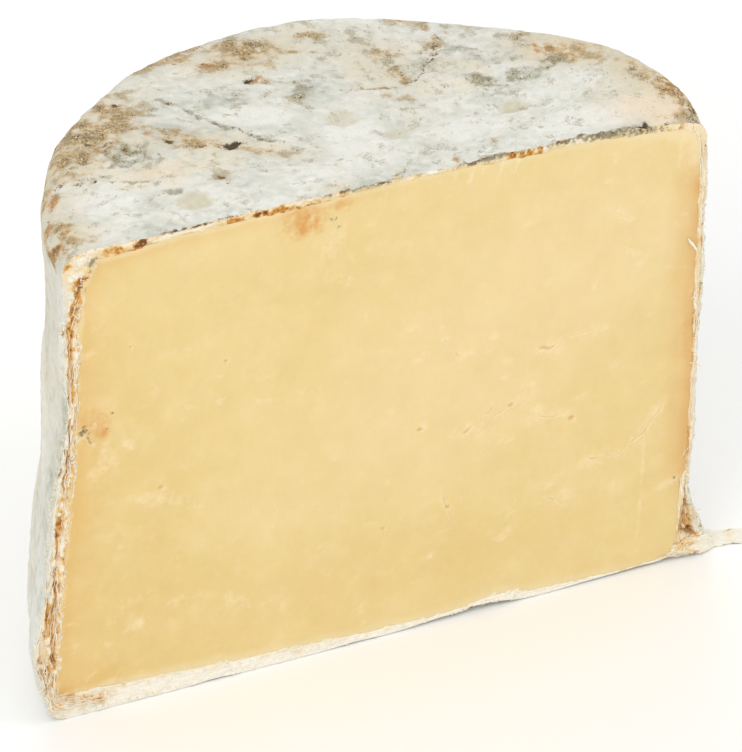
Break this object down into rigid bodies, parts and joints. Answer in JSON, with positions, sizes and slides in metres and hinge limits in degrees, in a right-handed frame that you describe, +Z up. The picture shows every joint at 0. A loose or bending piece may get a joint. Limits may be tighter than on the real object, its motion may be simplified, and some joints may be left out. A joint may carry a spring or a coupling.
{
  "type": "cave-aged cheddar half",
  "caption": "Half of a tall round cloth-bound cheddar, cut face flat and upright, mouldy rind round the back and top, resting on its flat base.",
  "frame": {"origin": "on the flat base, under the middle of the half", "axes": "+X to the right along the cut face, +Y away from the cut face towards the rounded back, +Z up; the cut face looks along -Y"},
  "size_m": [0.411, 0.178, 0.2642],
  "materials": {
    "paste": "satin, slightly waxy pale yellow paste",
    "rind": "matt cloth under powdery grey-white mould with tan and brown patches"
  },
  "bodies": {
    "root": {"cheddar_half": "paste"}
  },
  "joints": []
}
